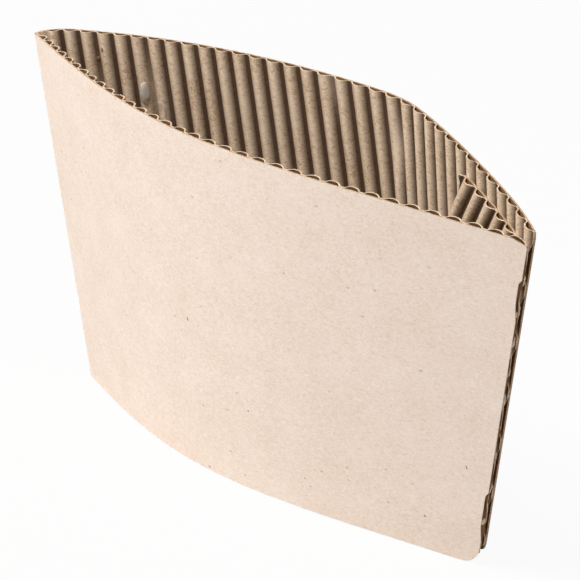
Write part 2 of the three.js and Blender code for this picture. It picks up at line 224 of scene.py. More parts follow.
@dataclass
class Blank:
    """The flat blank and the open cone that it is folded into.

    A point of the blank is (x, y) from the sector's centre and t, the depth from the liner's outer face.
    The glued edge's lower corner is rounded as in the photograph, and foot_corner is the rounder one that
    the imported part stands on.
    """

    board: Board = field(default_factory=Board)
    bends: Bends = field(default_factory=Bends)
    flap: Flap = field(default_factory=Flap)
    top_width: float = 123.5
    bottom_width: float = 100.7
    slant: float = 66.4
    corner: float = 3.2
    foot_corner: float = 5.0
    # The sharp tips of the upper corners are cut short
    tip: float = 0.35
    samples: int = 800
    rim_samples: int = 900
    foot_samples: int = 61
    closing_rounds: int = 6
    standing_rounds: int = 12

    def __post_init__(self) -> None:
        """Works out the sector and closes the lens."""
        self.top = self.top_width * self.slant / (self.top_width - self.bottom_width)
        self.bottom = self.top - self.slant
        self.angle = self.top_width / self.top
        fold, end = self._close()
        front = self._unroll(1, fold, end)
        back = self._unroll(-1, fold, end)
        self.rays = np.vstack([back[0][:0:-1], front[0]])
        self.alongs = np.vstack([back[1][:0:-1], front[1]])
        self.turn = np.eye(3)
        self.apex = np.zeros(3)
        self._stand()

    def _bending(self, angle: np.ndarray, side: int, step: float, fold: float, end: float) -> np.ndarray:
        """How sharply the board turns inwards at each ray.

        Args:
            angle: distances from the plain fold, in radians of the sector.
            side: 1 for the front panel, -1 for the back panel.
            step: the sampling step.
            fold: the plain fold's turn.
            end: the back panel's last bend.

        Returns:
            The turn per radian of the sector.
        """
        bends = self.bends

        def spread(low: float, peak: float, high: float) -> np.ndarray:
            """A bend of one radian, in a triangle from low to high."""
            height = 2 / (high - low)
            rising = height * (angle - low) / max(peak - low, TINY)
            falling = height * (high - angle) / max(high - peak, TINY)
            return np.where((angle <= low) | (angle >= high), 0, np.where(angle < peak, rising, falling))

        left = fold * bends.fold_radius / (2 * self.top) - angle + step / 2
        turn = np.clip(left / step, 0, 1) * self.top / bends.fold_radius
        if side > 0:
            return turn + math.radians(bends.front) * spread(0, bends.front_peak / self.top, self.angle)
        crease = (angle * self.top - bends.crease_place) / bends.crease_length
        sharp = math.radians(bends.crease) * self.top / (bends.crease_length * math.sqrt(math.pi))
        return (
            turn
            + math.radians(bends.back_bow) / self.angle
            + math.radians(bends.back_root) * spread(-TINY, 0, bends.back_root_length / self.top)
            + sharp * np.exp(-crease * crease)
            + end * spread(self.angle - bends.back_end_length / self.top, self.angle, self.angle + TINY)
        )

    def _unroll(self, side: int, fold: float, end: float) -> tuple[np.ndarray, np.ndarray]:
        """Rays of the cone from the plain fold to one edge.

        Args:
            side: 1 for the front panel, -1 for the back panel.
            fold: the plain fold's turn.
            end: the back panel's last bend.

        Returns:
            The rays, and the directions along the board at them.
        """
        step = self.angle / self.samples
        turns = self._bending((np.arange(self.samples) + 0.5) * step, side, step, fold, end)
        ray, along = Vector((0, 0, 1)), Vector((1, 0, 0))
        rays, alongs = [ray.copy()], [along.copy()]
        for turn in turns:
            axis = ray.cross(along) + ray * float(turn)
            spin = Matrix.Rotation(side * step * axis.length, 3, axis.normalized())
            ray, along = (spin @ ray).normalized(), (spin @ along).normalized()
            rays.append(ray.copy())
            alongs.append(along.copy())
        return np.array(rays), np.array(alongs)

    def _miss(self, fold: float, end: float) -> np.ndarray:
        """What is missing at the glued edge for the panels to lie the stack apart.

        Args:
            fold: the plain fold's turn.
            end: the back panel's last bend.

        Returns:
            The gap along the board and the gap across it.
        """
        front, back = self._unroll(1, fold, end), self._unroll(-1, fold, end)
        inward = np.cross(front[0][-1], front[1][-1])
        gap = back[0][-1] - front[0][-1] - inward * self.flap.stack / self.top
        return np.array([gap @ front[1][-1], gap @ inward])

    def _close(self) -> tuple[float, float]:
        """Closes the lens by Newton's method.

        Returns:
            The plain fold's turn and the back panel's last bend.
        """
        guess = np.radians(self.bends.first_guess)
        nudge = 1e-3
        for _ in range(self.closing_rounds):
            miss = self._miss(*guess)
            slope = np.column_stack([(self._miss(*(guess + nudge * e)) - miss) / nudge for e in np.eye(2)])
            guess = guess - np.linalg.solve(slope, miss)
        return float(guess[0]), float(guess[1])

    def at(self, angle: np.ndarray) -> tuple[np.ndarray, np.ndarray, np.ndarray]:
        """The cone at angles of the sector.

        Args:
            angle: the angles, in radians from the plain fold.

        Returns:
            The ray, the direction along the board and the inward normal at each.
        """
        places = np.linspace(-self.angle, self.angle, len(self.rays))

        def pick(table: np.ndarray) -> np.ndarray:
            """The table's unit rows at the angles."""
            rows = np.stack([np.interp(angle, places, table[:, k]) for k in range(3)], -1)
            return rows / np.linalg.norm(rows, axis=-1, keepdims=True)

        ray, along = pick(self.rays), pick(self.alongs)
        return ray, along, np.cross(ray, along)

    def place(self, radius: np.ndarray, angle: np.ndarray, depth: np.ndarray) -> np.ndarray:
        """Finds places of the blank in the scene.

        Args:
            radius: distances from the sector's centre.
            angle: angles of the sector, in radians from the plain fold.
            depth: depths from the liner's outer face.

        Returns:
            The points in metres.
        """
        ray, _, inward = self.at(angle)
        local = ray * radius[..., None] + inward * depth[..., None]
        return (local @ self.turn.T + self.apex) * MM

    def _stand(self) -> None:
        """Stands the cone on its two lower corners and the front panel's lower rim."""
        board = self.board.thickness
        edge = self.bottom * math.sin(self.angle)
        corner_from = edge - 2 * self.foot_corner

        def rim(low: float, high: float) -> np.ndarray:
            """Points of the lower rim from low to high, at both faces of the board."""
            x = np.linspace(low, high, self.foot_samples)
            y = self.lower_edge(np.abs(x), 0, self.foot_corner)
            radius, angle = np.hypot(x, y), np.arctan2(x, y)
            return np.vstack([self.place(radius, angle, 0 * x + t) for t in (0, board)]) / MM

        half = self.board.pitch / 2
        fold_corner = rim(-half, half)
        glued_corner = np.vstack([rim(-edge, -corner_from), rim(corner_from, edge)])
        leaning = rim(self.board.pitch, corner_from)
        up = self.rays[-1] + self.rays[self.samples]
        up = up / np.linalg.norm(up)
        for _ in range(self.standing_rounds):
            foot = fold_corner[(fold_corner @ up).argmin()]
            across = glued_corner[(glued_corner @ up).argmin()] - foot
            across /= np.linalg.norm(across)
            up = up - across * (up @ across)
            up /= np.linalg.norm(up)
            back = np.cross(up, across)
            lean = np.arctan2((leaning - foot) @ up, np.abs((leaning - foot) @ back)).min()
            up = np.array(Matrix.Rotation(-float(lean), 3, Vector(across)) @ Vector(up))
        self.turn = np.stack([across, np.cross(up, across), up])

    def settle(self, low: Vector, high: Vector) -> None:
        """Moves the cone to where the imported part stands.

        Args:
            low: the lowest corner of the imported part's box.
            high: its highest corner.
        """
        x = np.linspace(-self.angle, self.angle, self.rim_samples)
        depths = (0, self.board.thickness)
        edges = [(radius, depth) for radius in (self.bottom, self.top) for depth in depths]
        points = np.vstack([self.place(0 * x + radius, x, 0 * x + depth) for radius, depth in edges])
        side = low[0] - points[:, 0].min()
        back = (low[1] + high[1] - points[:, 1].min() - points[:, 1].max()) / 2
        self.apex = np.array([side, back, high[2] - points[:, 2].max()]) / MM

    def lower_edge(self, x: np.ndarray, margin: float, corner_radius: float | None = None) -> np.ndarray:
        """Lower outline of a panel, with the corner at the glued edge rounded.

        Args:
            x: distances from the plain fold.
            margin: how far the panel stays inside the glued edge.
            corner_radius: the corner's radius, or None for the photograph's.

        Returns:
            The outline's y at each x.
        """
        size = corner_radius or self.corner
        reach = self.bottom + size
        turn = self.angle - math.asin((size + margin) / reach)
        cx, cy = reach * math.sin(turn), reach * math.cos(turn)
        arc = np.sqrt(self.bottom**2 - np.minimum(x, self.bottom * 0.99) ** 2)
        line = (x * math.cos(self.angle) + margin) / math.sin(self.angle)
        corner = cy - np.sqrt(np.maximum(size**2 - (x - cx) ** 2, 0))
        rounded = np.where(x >= cx + size * math.cos(self.angle), line, corner)
        return np.where(x <= self.bottom * math.sin(turn), arc, rounded)


@dataclass(frozen=True)
class Dent:
    """A place where the fluting is pressed, on the blank in millimetres."""

    across: float
    below_rim: float
    width: float
    length: float
    pressed: float


# Pressed flutes, as the photograph shows them inside the back panel
DENTS = (
    Dent(-22.9, 11.0, 2.0, 6.0, 0.5),
    Dent(-74.1, 8.8, 1.5, 4.5, 0.6),
    Dent(-60.6, 2.0, 1.3, 4.0, 0.4),
    Dent(-47.0, 30.0, 1.8, 8.0, 0.3),
    Dent(-12.2, 14.0, 1.4, 7.0, 0.35),
    Dent(34.0, 22.0, 1.8, 7.0, 0.3),
)


@dataclass(frozen=True)
class Blob:
    """Something small that lies on the board: a glue drop or a bark fleck, in millimetres."""

    name: str
    across: float
    below_rim: float
    half_width: float
    half_length: float
    height: float


GLUE_BLOBS = (
    Blob("glue_drop", -21.3, 10.2, 0.8, 2.1, 0.4),
    Blob("glue_thread_upper", -24.4, 11.6, 0.5, 0.12, 0.1),
    Blob("glue_thread_side", -25.1, 13.2, 0.13, 1.3, 0.1),
)
BARK_FLECKS = (
    Blob("fleck_a", 48.8, 37.0, 0.16, 0.42, 0.05),
    Blob("fleck_b", 51.4, 37.3, 0.12, 0.12, 0.04),
    Blob("fleck_c", 48.5, 53.4, 0.16, 0.16, 0.04),
    Blob("fleck_d", 59.6, 50.4, 0.14, 0.2, 0.04),
    Blob("fleck_e", 47.0, 65.7, 0.3, 0.14, 0.05),
    Blob("fleck_f", 55.7, 64.1, 0.15, 0.15, 0.04),
    Blob("fleck_g", 68.9, 60.0, 0.18, 0.12, 0.04),
    Blob("fleck_h", 90.9, 59.7, 0.14, 0.3, 0.04),
    Blob("fleck_i", 90.0, 53.9, 0.13, 0.13, 0.04),
    Blob("fleck_j", 100.8, 47.2, 0.1, 0.5, 0.04),
    Blob("fleck_k", -12.2, 4.9, 0.36, 0.36, 0.08),
    Blob("fleck_l", -13.8, 2.9, 0.14, 0.4, 0.05),
)


@dataclass(frozen=True)
class BlobForm:
    """The flat dome that every drop and fleck has, with its uneven outline."""

    rings: int = 9
    spokes: int = 28
    oval: float = 0.12
    oval_turn: float = 0.6
    lobes: float = 0.07
    # Millimetres above the flutes on the inside, and below the liner's face on the outside
    above_flutes: float = 0.12
    in_liner: float = 0.02

    def build(self) -> tuple[np.ndarray, list[tuple[int, ...]]]:
        """Makes the dome.

        Returns:
            Its points, one wide and one high, and its faces, which look away from the board on the inside.
        """
        points = [(0.0, 0.0, 1.0)]
        for ring in range(1, self.rings + 1):
            slope = ring / self.rings * math.pi / 2
            for spoke in range(self.spokes):
                turn = 2 * math.pi * spoke / self.spokes
                edge = 1 + self.oval * math.sin(2 * turn + self.oval_turn) + self.lobes * math.sin(5 * turn)
                reach = math.sin(slope) * edge
                points.append((reach * math.cos(turn), reach * math.sin(turn), math.cos(slope)))
        faces = []
        for spoke in range(self.spokes):
            faces.append((0, 1 + spoke, 1 + (spoke + 1) % self.spokes))
            for ring in range(self.rings - 1):
                a = 1 + ring * self.spokes + spoke
                b = 1 + ring * self.spokes + (spoke + 1) % self.spokes
                faces.append((a, a + self.spokes, b + self.spokes, b))
        last = 1 + (self.rings - 1) * self.spokes
        faces.append(tuple(last + spoke for spoke in reversed(range(self.spokes))))
        return np.array(points), faces


@dataclass
class Web:
    """A flat web of the board as a grid.

    x and y are its places on the blank, across its places across the flutes, press the share of the rise
    that the folds leave, and start the depth of the liner's outer face.
    """

    x: np.ndarray
    y: np.ndarray
    across: np.ndarray
    press: np.ndarray
    start: float = 0.0


@dataclass(frozen=True)
class PaperPattern:
    """What every kraft paper shows, in millimetres.

    The clouds of the pulp and the bark specks have their real sizes. A pulp fibre is about 0.03 mm thick,
    too fine to show in the render, so the fibres are drawn twenty times as coarse.
    """

    cloud: float = 9.09
    fibre: float = 0.667
    speck_gap: float = 2.381
    # Fibres lie along the board: their pattern is this much shorter up the sleeve
    lie: float = 1.7
    fibre_share: float = 0.72
    tones: tuple[float, float, float] = (0.3, 0.49, 0.68)
    # Of the cells that are a speck_gap wide, the share without a speck, and a speck's reach in its cell
    clear: float = 0.93
    speck_reach: float = 0.13
    speck_colour: str = "#8B6A4C"
    relief: float = 0.2
    # Below 1, the painted shade in a groove sets in soon after the crest
    groove_shade_power: float = 0.62
    specular: float = 0.25


@dataclass(frozen=True)
class KraftFinish:
    """A kraft paper: unbleached sulphate pulp, pressed and dried, matt and faintly mottled."""

    name: str
    base: str
    pale: str
    dark: str
    roughness: float
    bump: float
    specks: float = 0.1
    # Painted shade: a colour mixed in down the flutes' grooves, more of it the deeper the point lies
    groove: str = "#40240C"
    groove_shade_share: float = 0.0


# Outer liner, calendered once: smooth, pale and even, with a faint cloud and a few bark specks
LINER_FINISH = KraftFinish("kraft_liner", "#EBD9CB", "#F2E6DB", "#DEC8B5", 0.84, 0.06, 0.4)
# Fluting paper, steamed and pressed between toothed rolls: rougher and browner, with deep brown painted
# shade down its grooves
MEDIUM_FINISH = KraftFinish(
    "kraft_fluting_medium", "#EBD1B3", "#F6E4CD", "#B58F66", 0.9, 0.25, 0.45, "#40240C", 0.95
)
# Hidden faces in the tunnels, painted dark brown as painted shade, with more painted shade in their
# grooves: dark holes along both rims
TUNNEL_SHADE_FINISH = KraftFinish("tunnel_kraft_painted_shade", "#8A6543", "#9C7652", "#604326", 0.92, 0.1, 0.1, "#523520", 0.5)
# Fluting paper cut by a steel rule: a woolly edge that draws each flute as a light brown line
CUT_FINISH = KraftFinish("cut_kraft_edge", "#C4AC92", "#DAC6B0", "#967759", 0.95, 0.3)
# Liner cut by the same rule: its edge is painted a darker brown line, as painted shade along the rims
CUT_LINER_SHADE_FINISH = KraftFinish("cut_liner_edge_painted_shade", "#B0967B", "#C4AC92", "#87694C", 0.95, 0.3)
# Board crushed at the perforation: raised fibres, greyer and duller than the liner
EDGE_FINISH = KraftFinish("crushed_kraft_fold", "#D6BFA8", "#E6D3C0", "#A78766", 0.9, 0.3, 0.2)
# Bark left in the pulp: small brown flecks that stand out of the paper
FLECK_FINISH = KraftFinish("bark_fleck", "#8E6A4A", "#A5825F", "#553722", 0.8, 0.2, 0.0)


@dataclass(frozen=True)
class GlueFinish:
    """Cold-set starch glue, dried in the air: a cloudy pale skin with a soft shine.

    Its clouds have their real size in millimetres.
    """

    name: str = "dried_glue"
    colour: str = "#EFE9E1"
    thin_colour: str = "#C2B2A0"
    cloud: float = 0.714
    roughness: float = 0.32
    ior: float = 1.47
    see_through: float = 0.25


def kraft_material(finish: KraftFinish, pattern: PaperPattern = PaperPattern()) -> Material:
    """Kraft paper with cloudy formation, short lying fibres, a few specks, painted shade down the flutes'
    grooves and a fibre bump.

    Args:
        finish: the paper's colours and roughness.
        pattern: the sizes of what it shows.

    Returns:
        The material.
    """
    material = bpy.data.materials.new(finish.name)
    material.use_nodes = True
    tree = material.node_tree
    shader = tree.nodes["Principled BSDF"]
    coords = add_node(tree, "ShaderNodeTexCoord").outputs["Object"]
    clouds = {"Vector": coords, "Scale": per_metre(pattern.cloud), "Detail": 5.0, "Roughness": 0.65}
    cloud = add_node(tree, "ShaderNodeTexNoise", clouds).outputs["Fac"]
    stretched = {"Vector": coords, "Scale": (1.0, 1.0, pattern.lie)}
    lying = add_node(tree, "ShaderNodeMapping", stretched).outputs[0]
    fibres = {"Vector": lying, "Scale": per_metre(pattern.fibre), "Detail": 3.0, "Distortion": 1.4}
    fibre = add_node(tree, "ShaderNodeTexNoise", fibres).outputs["Fac"]
    spots = add_node(tree, "ShaderNodeTexVoronoi", {"Vector": lying, "Scale": per_metre(pattern.speck_gap)})
    chance = add_node(tree, "ShaderNodeSeparateColor", (spots.outputs["Color"],)).outputs[0]
    groove = add_node(tree, "ShaderNodeAttribute", attribute_name="groove").outputs["Fac"]
    known = {"cloud": cloud, "fibre": fibre, "groove": groove}
    known |= {"distance": spots.outputs["Distance"], "chance": chance}
    steps = (
        ("cloudy", "MULTIPLY", "cloud", 1 - pattern.fibre_share),
        ("mottled", "MULTIPLY_ADD", "fibre", pattern.fibre_share, "cloudy"),
        ("near", "LESS_THAN", "distance", pattern.speck_reach),
        ("rare", "GREATER_THAN", "chance", pattern.clear),
        ("spot", "MULTIPLY", "near", "rare"),
        ("speck", "MULTIPLY", "spot", finish.specks),
        ("shade", "POWER", "groove", pattern.groove_shade_power),
        ("share", "MULTIPLY", "shade", finish.groove_shade_share),
    )
    add_chain(tree, MATH, known, steps)
    tone = add_node(tree, "ShaderNodeValToRGB", (known["mottled"],))
    tones = tone.color_ramp.elements
    tones[0].position, middle, tones[1].position = pattern.tones
    tones.new(middle)
    for step, colour in zip(tones, (finish.dark, finish.base, finish.pale)):
        step.color = linear(colour)
    # A colour mix has its factor at place 0, its colours at 6 and 7 and its result at 2
    colour = tone.outputs[0]
    # The second mix paints the grooves' shade into the colour
    for factor, other in (("speck", pattern.speck_colour), ("share", finish.groove)):
        mixed = {0: known[factor], 6: colour, 7: linear(other)}
        colour = add_node(tree, "ShaderNodeMix", mixed, data_type="RGBA").outputs[2]
    tree.links.new(colour, shader.inputs["Base Color"])
    shader.inputs["Roughness"].default_value = finish.roughness
    shader.inputs["Specular IOR Level"].default_value = pattern.specular
    raised = {"Strength": finish.bump, "Distance": pattern.relief * MM, "Height": fibre}
    bump = add_node(tree, "ShaderNodeBump", raised)
    tree.links.new(bump.outputs[0], shader.inputs["Normal"])
    return material


def glue_material(finish: GlueFinish) -> Material:
    """Dried glue: cloudy, slightly see-through, with a soft shine.

    Args:
        finish: the glue's colours, clouds and shine.

    Returns:
        The material.
    """
    material = bpy.data.materials.new(finish.name)
    material.use_nodes = True
    tree = material.node_tree
    shader = tree.nodes["Principled BSDF"]
    coords = add_node(tree, "ShaderNodeTexCoord").outputs["Object"]
    clouds = {"Vector": coords, "Scale": per_metre(finish.cloud), "Detail": 3.0}
    cloud = add_node(tree, "ShaderNodeTexNoise", clouds).outputs["Fac"]
    tone = add_node(tree, "ShaderNodeValToRGB", (cloud,))
    for step, colour in zip(tone.color_ramp.elements, (finish.thin_colour, finish.colour)):
        step.color = linear(colour)
    tree.links.new(tone.outputs[0], shader.inputs["Base Color"])
    shader.inputs["Roughness"].default_value = finish.roughness
    shader.inputs["IOR"].default_value = finish.ior
    shader.inputs["Transmission Weight"].default_value = finish.see_through
    return material


def folding_tree(board: Board, sizes: dict[str, float]) -> NodeTree:
    """The tree that flutes a flat web and folds it onto the cone.

    Args:
        board: the board, for the flutes' profile and unevenness.
        sizes: names and first values of the number inputs.

    Returns:
        The tree, whose inputs are the web, the curve of the cone's rays, the sizes, the apex and the paper.
    """
    tree = bpy.data.node_groups.new("flute_and_fold", "GeometryNodeTree")
    kinds = {"Web": "Geometry", "Rays": "Object", "Apex": "Vector", "Paper": "Material"}
    for name, kind in (kinds | dict.fromkeys(sizes, "Float")).items():
        socket = tree.interface.new_socket(name, in_out="INPUT", socket_type=f"NodeSocket{kind}")
        if name in sizes:
            socket.default_value = sizes[name]
    tree.interface.new_socket("Board", in_out="OUTPUT", socket_type="NodeSocketGeometry")
    source = add_node(tree, "NodeGroupInput").outputs
    across, rise = (
        add_node(tree, "GeometryNodeInputNamedAttribute", {"Name": name}, data_type="FLOAT").outputs[0]
        for name in ("across", "rise")
    )

    position = add_node(tree, "GeometryNodeInputPosition").outputs[0]
    x, y, flat_depth = add_node(tree, "ShaderNodeSeparateXYZ", (position,)).outputs

    # The rise is a little uneven from flute to flute and along each
    slow = add_node(tree, MATH, (y, board.uneven_along), operation="MULTIPLY").outputs[0]
    spot = add_node(tree, "ShaderNodeCombineXYZ", (across, slow, source["Seed"])).outputs[0]
    noise = {"Vector": spot, "Scale": 1 / board.uneven_length, "Detail": 2.0}
    uneven = add_node(tree, "ShaderNodeTexNoise", noise).outputs["Fac"]

    known = {name: source[name] for name in (*sizes, "Apex")}
    known |= {"x": x, "y": y, "flat depth": flat_depth, "across": across, "rise": rise, "uneven": uneven}
    fluting = (
        # The flat point's radius, and its place between the cone's two ends
        ("y square", "MULTIPLY", "y", "y"),
        ("square", "MULTIPLY_ADD", "x", "x", "y square"),
        ("radius", "SQRT", "square"),
        ("angle", "ARCTAN2", "x", "y"),
        ("from end", "ADD", "angle", "Sector Angle"),
        ("whole", "MULTIPLY", "Sector Angle", 2.0),
        ("share", "DIVIDE", "from end", "whole"),
        # The flute's height
        ("centred", "SUBTRACT", "uneven", 0.5),
        ("wobble", "MULTIPLY", "centred", "Unevenness"),
        ("full rise", "ADD", "Flute Rise", "wobble"),
        ("height", "MULTIPLY", "full rise", "rise"),
        # Its profile, as in Board.arch
        ("flutes", "DIVIDE", "across", "Flute Pitch"),
        ("nearest", "ROUND", "flutes"),
        ("beside", "SUBTRACT", "flutes", "nearest"),
        ("from crest", "ABSOLUTE", "beside"),
        ("reach", "DIVIDE", "from crest", "Crest Reach"),
        ("flank", "POWER", "reach", board.flank_power),
        ("left", "SUBTRACT", 1.0, "flank"),
        ("above", "MAXIMUM", "left", 0.0),
        ("wave", "POWER", "above", board.arch_power),
        ("depth", "MULTIPLY_ADD", "wave", "height", "flat depth"),
        # How deep in a groove the point lies, for the shade painted into the paper's colour
        ("low", "SUBTRACT", 1.0, "wave"),
        ("groove", "MULTIPLY", "low", "rise"),
    )
    add_chain(tree, MATH, known, fluting)
    kept = {"Geometry": source["Web"], "Name": "groove", "Value": known["groove"]}
    stored = add_node(tree, "GeometryNodeStoreNamedAttribute", kept, data_type="FLOAT").outputs[0]

    rays = add_node(tree, "GeometryNodeObjectInfo", {"Object": source["Rays"]}).outputs["Geometry"]
    sampled = {"Curves": rays, "Factor": known["share"]}
    sample = add_node(tree, "GeometryNodeSampleCurve", sampled, mode="FACTOR").outputs
    known |= {"sampled": sample["Position"], "tangent": sample["Tangent"]}
    folding = (
        # The cone's ray and inward normal, read off the curve of rays
        ("ray", "NORMALIZE", "sampled"),
        ("normal", "CROSS_PRODUCT", "ray", "tangent"),
        ("inward", "NORMALIZE", "normal"),
        # The point: along the ray and inwards by the depth
        ("out", "MULTIPLY", "ray", "radius"),
        ("offset", "MULTIPLY", "inward", "depth"),
        ("local", "ADD", "out", "offset"),
        ("world", "ADD", "local", "Apex"),
        ("metres", "MULTIPLY", "world", (MM, MM, MM)),
    )
    add_chain(tree, VECTOR_MATH, known, folding)
    moved = {"Geometry": stored, "Position": known["metres"]}
    folded = add_node(tree, "GeometryNodeSetPosition", moved).outputs[0]
    real = add_node(tree, "GeometryNodeRealizeInstances", (folded,)).outputs[0]
    paper = {"Geometry": real, "Material": source["Paper"]}
    dressed = add_node(tree, "GeometryNodeSetMaterial", paper).outputs[0]
    add_node(tree, "NodeGroupOutput", (dressed,))
    return tree


def ray_curve(blank: Blank) -> Object:
    """The cone's rays as a curve on the unit sphere, turned as the sleeve stands.

    Args:
        blank: the blank with its cone.

    Returns:
        The curve, which is removed once the webs are folded.
    """
    curve = bpy.data.curves.new("cone_rays", "CURVE")
    curve.dimensions = "3D"
    spline = curve.splines.new("POLY")
    points = blank.rays @ blank.turn.T
    spline.points.add(len(points) - 1)
    spline.points.foreach_set("co", np.column_stack([points, np.ones(len(points))]).ravel())
    made = bpy.data.objects.new("cone_rays", curve)
    bpy.context.scene.collection.objects.link(made)
    return made


def grid_faces(columns: int, rows: int) -> list[tuple[int, ...]]:
    """Quads of a grid whose points go row by row.

    Args:
        columns: points in a row.
        rows: number of rows.

    Returns:
        The corners of each quad.
    """
    faces = []
    for j in range(rows - 1):
        for i in range(columns - 1):
            low = j * columns + i
            faces.append((low, low + 1, low + columns + 1, low + columns))
    return faces


def link_mesh(name: str, points: np.ndarray, faces: list[tuple[int, ...]]) -> Object:
    """Makes an object of the faces and puts it in the scene.

    Args:
        name: the object's name.
        points: places that the faces may use. Those that none uses are left out.
        faces: corners of each face.

    Returns:
        The object.
    """
    used = sorted({corner for face in faces for corner in face})
    place = {corner: i for i, corner in enumerate(used)}
    mesh = bpy.data.meshes.new(name)
    corners = [tuple(place[corner] for corner in face) for face in faces]
    mesh.from_pydata([tuple(map(float, points[corner])) for corner in used], [], corners)
    made = bpy.data.objects.new(name, mesh)
    bpy.context.scene.collection.objects.link(made)
    return made


def apply_modifiers(piece: Object) -> None:
    """Puts the result of a piece's modifiers into its mesh.

    Args:
        piece: the piece, which has no modifiers afterwards.
    """
    graph = bpy.context.evaluated_depsgraph_get()
    mesh = bpy.data.meshes.new_from_object(piece.evaluated_get(graph))
    piece.modifiers.clear()
    piece.data = mesh


def finish_piece(
    piece: Object, thickness: float = 0.0, others: tuple[Material, ...] = ()
) -> Object:
    """Gives a web its thickness, smooths it and sets it on the frame.

    Args:
        piece: the piece, in place.
        thickness: the web's thickness in metres, or 0 for a closed mesh.
        others: the papers of the web's second face and of its cut edges.

    Returns:
        The piece.
    """
    if thickness:
        for paper in others:
            piece.data.materials.append(paper)
        solid = piece.modifiers.new("thickness", "SOLIDIFY")
        solid.thickness, solid.offset, solid.use_even_offset = thickness, 0.0, False
        solid.material_offset, solid.material_offset_rim = (1, 2) if others else (0, 0)
        apply_modifiers(piece)
    piece.data.polygons.foreach_set("use_smooth", [True] * len(piece.data.polygons))
    piece.data.set_sharp_from_angle(angle=math.radians(SHARP_EDGE))
    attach(piece, BODY)
    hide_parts(NODE)
    log.info("%s: %d faces", piece.name, len(piece.data.polygons))
    return piece


